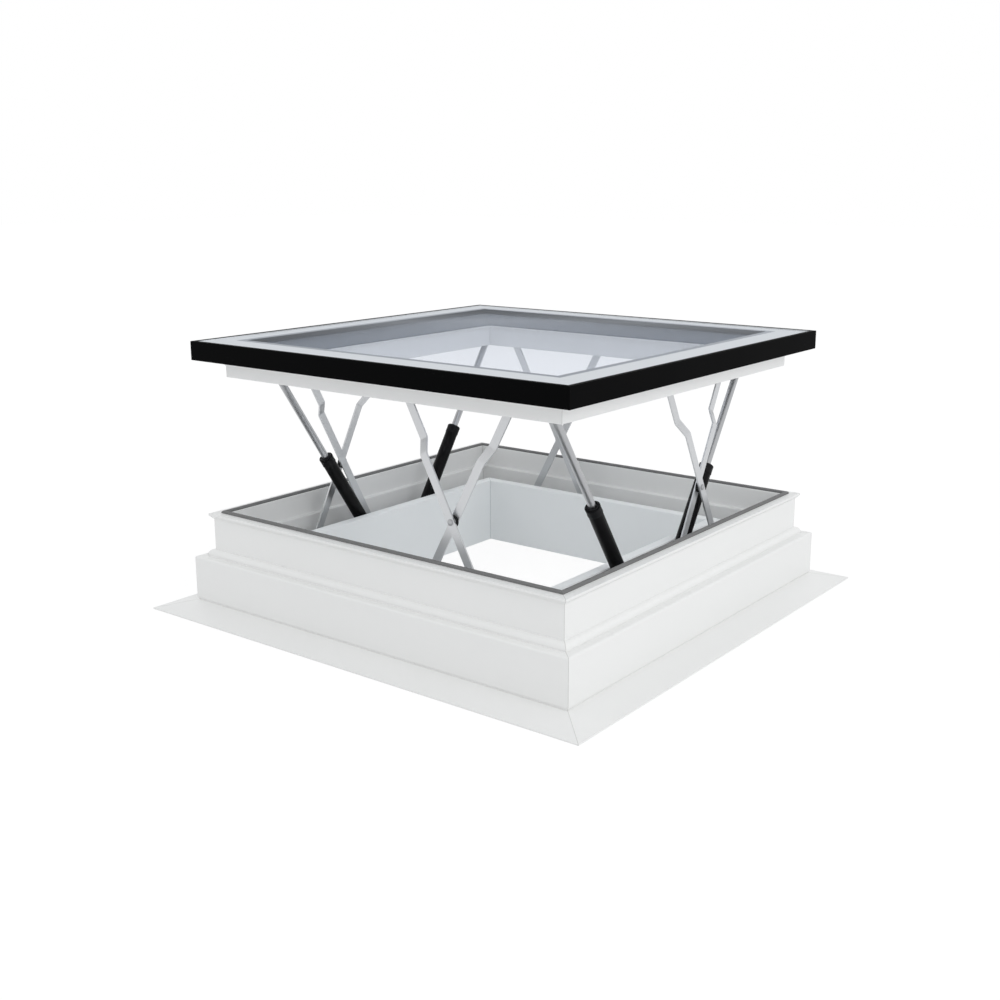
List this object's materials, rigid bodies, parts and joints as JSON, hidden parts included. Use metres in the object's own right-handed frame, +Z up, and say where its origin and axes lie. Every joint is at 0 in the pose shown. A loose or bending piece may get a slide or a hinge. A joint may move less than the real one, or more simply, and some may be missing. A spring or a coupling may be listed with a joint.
{
  "type": "smoke vent rooflight",
  "caption": "Square flat-glass smoke vent rooflight on a stepped kerb; its sash lifts straight up on folding scissor arms driven by linear actuators.",
  "frame": {"origin": "centre of the roof opening, on the roof deck under the flange", "axes": "+Z up; -Y is the long near-left side of the picture, +X its near-right side"},
  "size_m": [1.576, 1.576, 0.8208],
  "materials": {
    "white_pvc": "satin white extruded profile",
    "lining_white": "matt white board",
    "rubber_gasket": "dark grey rubber",
    "galvanised_steel": "bright zinc-plated flat bar",
    "black_band": "black powder coat",
    "cover_glass": "clear flat glass",
    "glazing_border": "pale grey enamel under the glass",
    "slate_reveal": "slate grey coated metal",
    "inner_glass": "clear glass",
    "actuator_black": "black satin tube",
    "chrome_rod": "polished rod"
  },
  "bodies": {
    "base": {"kerb_front": "white_pvc", "kerb_right": "white_pvc", "kerb_back": "white_pvc", "kerb_left": "white_pvc", "lining_front": "lining_white", "lining_right": "lining_white", "lining_back": "lining_white", "lining_left": "lining_white", "kerb_gasket": "rubber_gasket", "lower_rail_front": "galvanised_steel", "lower_rail_right": "galvanised_steel", "lower_rail_back": "galvanised_steel", "lower_rail_left": "galvanised_steel", "actuator_feet": "galvanised_steel"},
    "sash": {"sash_frame_front": "white_pvc", "sash_frame_right": "white_pvc", "sash_frame_back": "white_pvc", "sash_frame_left": "white_pvc", "edge_band": "black_band", "cover_glass": "cover_glass", "glazing_border": "glazing_border", "glazing_reveal": "slate_reveal", "inner_glass": "inner_glass", "upper_rail_front": "galvanised_steel", "upper_rail_right": "galvanised_steel", "upper_rail_back": "galvanised_steel", "upper_rail_left": "galvanised_steel", "actuator_heads": "galvanised_steel"},
    "arm_front_outer": {"arm_front_outer": "galvanised_steel"},
    "arm_front_inner": {"arm_front_inner": "galvanised_steel"},
    "arm_right_outer": {"arm_right_outer": "galvanised_steel"},
    "arm_right_inner": {"arm_right_inner": "galvanised_steel"},
    "arm_back_outer": {"arm_back_outer": "galvanised_steel"},
    "arm_back_inner": {"arm_back_inner": "galvanised_steel"},
    "arm_left_outer": {"arm_left_outer": "galvanised_steel"},
    "arm_left_inner": {"arm_left_inner": "galvanised_steel"},
    "actuator_tube_right_a": {"actuator_tube_right_a": "actuator_black"},
    "actuator_rod_right_a": {"actuator_rod_right_a": "chrome_rod"},
    "actuator_tube_right_b": {"actuator_tube_right_b": "actuator_black"},
    "actuator_rod_right_b": {"actuator_rod_right_b": "chrome_rod"},
    "actuator_tube_left_a": {"actuator_tube_left_a": "actuator_black"},
    "actuator_rod_left_a": {"actuator_rod_left_a": "chrome_rod"},
    "actuator_tube_left_b": {"actuator_tube_left_b": "actuator_black"},
    "actuator_rod_left_b": {"actuator_rod_left_b": "chrome_rod"}
  },
  "joints": [
    {"name": "front_outer_pivot", "type": "hinge", "parent": "base", "child": "arm_front_outer", "pos_m": [0.385, -0.5475, 0.052], "axis": [0, -1, 0], "range_deg": [0, 46.95]},
    {"name": "front_middle_pivot", "type": "hinge", "parent": "arm_front_outer", "child": "arm_front_inner", "pos_m": [0.20573, -0.5405, 0.38915], "axis": [0, -1, 0], "range_deg": [-93.9, 0]},
    {"name": "right_outer_pivot", "type": "hinge", "parent": "base", "child": "arm_right_outer", "pos_m": [0.5475, 0.385, 0.052], "axis": [1, 0, 0], "range_deg": [0, 46.95]},
    {"name": "right_middle_pivot", "type": "hinge", "parent": "arm_right_outer", "child": "arm_right_inner", "pos_m": [0.5405, 0.20573, 0.38915], "axis": [1, 0, 0], "range_deg": [-93.9, 0]},
    {"name": "back_outer_pivot", "type": "hinge", "parent": "base", "child": "arm_back_outer", "pos_m": [-0.385, 0.5475, 0.052], "axis": [0, 1, 0], "range_deg": [0, 46.95]},
    {"name": "back_middle_pivot", "type": "hinge", "parent": "arm_back_outer", "child": "arm_back_inner", "pos_m": [-0.20573, 0.5405, 0.38915], "axis": [0, 1, 0], "range_deg": [-93.9, 0]},
    {"name": "left_outer_pivot", "type": "hinge", "parent": "base", "child": "arm_left_outer", "pos_m": [-0.5475, -0.385, 0.052], "axis": [-1, 0, 0], "range_deg": [0, 46.95]},
    {"name": "left_middle_pivot", "type": "hinge", "parent": "arm_left_outer", "child": "arm_left_inner", "pos_m": [-0.5405, -0.20573, 0.38915], "axis": [-1, 0, 0], "range_deg": [-93.9, 0]},
    {"name": "sash_pivot", "type": "hinge", "parent": "arm_front_inner", "child": "sash", "pos_m": [0.385, -0.5085, 0.7263], "axis": [0, -1, 0], "range_deg": [0, 46.95]},
    {"name": "actuator_foot_right_a", "type": "hinge", "parent": "base", "child": "actuator_tube_right_a", "pos_m": [0.5035, -0.08, 0.075], "axis": [1, 0, 0], "range_deg": [0, 34.4]},
    {"name": "actuator_rod_right_a", "type": "slide", "parent": "actuator_tube_right_a", "child": "actuator_rod_right_a", "axis": [0, -0.5501, 0.8351], "range_m": [-0.31648, 0]},
    {"name": "actuator_foot_right_b", "type": "hinge", "parent": "base", "child": "actuator_tube_right_b", "pos_m": [0.5035, 0.08, 0.075], "axis": [1, 0, 0], "range_deg": [-34.4, 0]},
    {"name": "actuator_rod_right_b", "type": "slide", "parent": "actuator_tube_right_b", "child": "actuator_rod_right_b", "axis": [0, 0.5501, 0.8351], "range_m": [-0.31648, 0]},
    {"name": "actuator_foot_left_a", "type": "hinge", "parent": "base", "child": "actuator_tube_left_a", "pos_m": [-0.5035, 0.08, 0.075], "axis": [-1, 0, 0], "range_deg": [0, 34.4]},
    {"name": "actuator_rod_left_a", "type": "slide", "parent": "actuator_tube_left_a", "child": "actuator_rod_left_a", "axis": [0, 0.5501, 0.8351], "range_m": [-0.31648, 0]},
    {"name": "actuator_foot_left_b", "type": "hinge", "parent": "base", "child": "actuator_tube_left_b", "pos_m": [-0.5035, -0.08, 0.075], "axis": [-1, 0, 0], "range_deg": [-34.4, 0]},
    {"name": "actuator_rod_left_b", "type": "slide", "parent": "actuator_tube_left_b", "child": "actuator_rod_left_b", "axis": [0, -0.5501, 0.8351], "range_m": [-0.31648, 0]}
  ],
  "couplings": [
    {"joint": "front_middle_pivot", "follows": "front_outer_pivot", "ratio": -2},
    {"joint": "right_outer_pivot", "follows": "front_outer_pivot", "ratio": 1},
    {"joint": "right_middle_pivot", "follows": "front_outer_pivot", "ratio": -2},
    {"joint": "back_outer_pivot", "follows": "front_outer_pivot", "ratio": 1},
    {"joint": "back_middle_pivot", "follows": "front_outer_pivot", "ratio": -2},
    {"joint": "left_outer_pivot", "follows": "front_outer_pivot", "ratio": 1},
    {"joint": "left_middle_pivot", "follows": "front_outer_pivot", "ratio": -2},
    {"joint": "sash_pivot", "follows": "front_outer_pivot", "ratio": 1},
    {"joint": "actuator_foot_right_a", "follows": "front_outer_pivot", "ratio": 0.73273},
    {"joint": "actuator_rod_right_a", "follows": "front_outer_pivot", "m_per_rad": -0.38619},
    {"joint": "actuator_foot_right_b", "follows": "front_outer_pivot", "ratio": -0.73273},
    {"joint": "actuator_rod_right_b", "follows": "front_outer_pivot", "m_per_rad": -0.38619},
    {"joint": "actuator_foot_left_a", "follows": "front_outer_pivot", "ratio": 0.73273},
    {"joint": "actuator_rod_left_a", "follows": "front_outer_pivot", "m_per_rad": -0.38619},
    {"joint": "actuator_foot_left_b", "follows": "front_outer_pivot", "ratio": -0.73273},
    {"joint": "actuator_rod_left_b", "follows": "front_outer_pivot", "m_per_rad": -0.38619}
  ]
}
